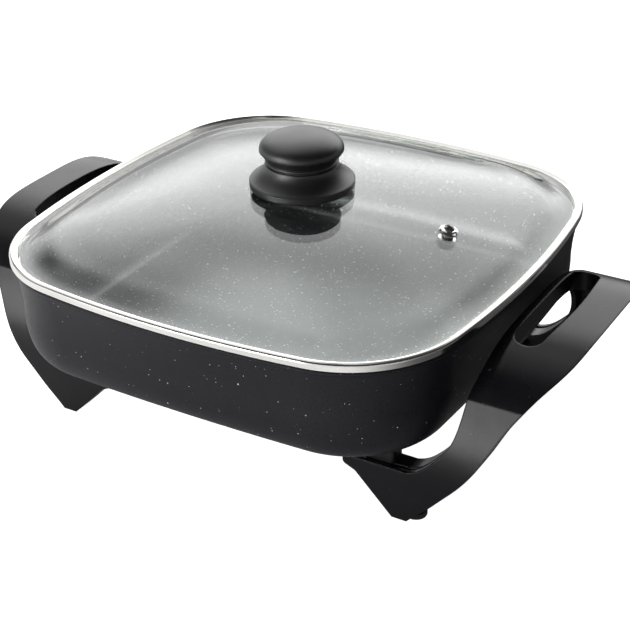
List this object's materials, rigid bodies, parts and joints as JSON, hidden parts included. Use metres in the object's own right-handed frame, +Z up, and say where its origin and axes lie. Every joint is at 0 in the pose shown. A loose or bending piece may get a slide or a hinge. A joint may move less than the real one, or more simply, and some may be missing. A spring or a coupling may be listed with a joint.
{
  "type": "electric griddle",
  "caption": "Deep rounded-square electric pan with a speckled coating on two arched handle-legs, under a domed glass lid with steel rim, vent and mushroom knob.",
  "frame": {"origin": "on the table plane, under the middle of the pan", "axes": "+X to the right handle, -Y to the front, +Z up"},
  "size_m": [0.429, 0.32, 0.1875],
  "materials": {
    "pan_coating": "cast aluminium with a speckled satin non-stick coating",
    "element_steel": "dull steel tube",
    "pin_steel": "bright plated",
    "ceramic": "glazed ceramic, stands for steatite",
    "black_plastic": "satin phenolic",
    "handle_black": "satin-gloss phenolic",
    "screw_steel": "zinc-plated",
    "contact_strip": "spring steel",
    "rubber_black": "matte",
    "tempered_glass": "clear tempered",
    "rim_steel": "polished stainless steel",
    "knob_black": "fine matte",
    "brass_insert": "knurled brass",
    "silicone": "translucent silicone"
  },
  "bodies": {
    "base": {"pan": "pan_coating", "heating_element": "element_steel", "terminal_pins": "pin_steel", "terminal_insulators": "ceramic", "socket_shroud": "black_plastic", "shroud_screws": "screw_steel", "earth_contact": "contact_strip", "handle_right": "handle_black", "handle_left": "handle_black", "grip_cover_right": "black_plastic", "grip_cover_left": "black_plastic", "grip_cover_screws": "screw_steel", "handle_spacers": "black_plastic", "handle_screws": "screw_steel", "handle_washers": "screw_steel", "foot_front_right": "rubber_black", "foot_back_right": "rubber_black", "foot_front_left": "rubber_black", "foot_back_left": "rubber_black"},
    "lid": {"lid_glass": "tempered_glass", "lid_rim": "rim_steel", "vent_eyelet": "rim_steel", "vent_gasket": "silicone", "knob_cap": "knob_black", "knob_skirt": "knob_black", "knob_insert": "brass_insert", "knob_screw": "screw_steel", "knob_washer": "screw_steel", "knob_gasket_top": "silicone", "knob_gasket_bottom": "silicone"}
  },
  "joints": [
    {"name": "lid_lift", "type": "slide", "parent": "base", "child": "lid", "axis": [0, 0, 1], "range_m": [0, 0.16]}
  ]
}
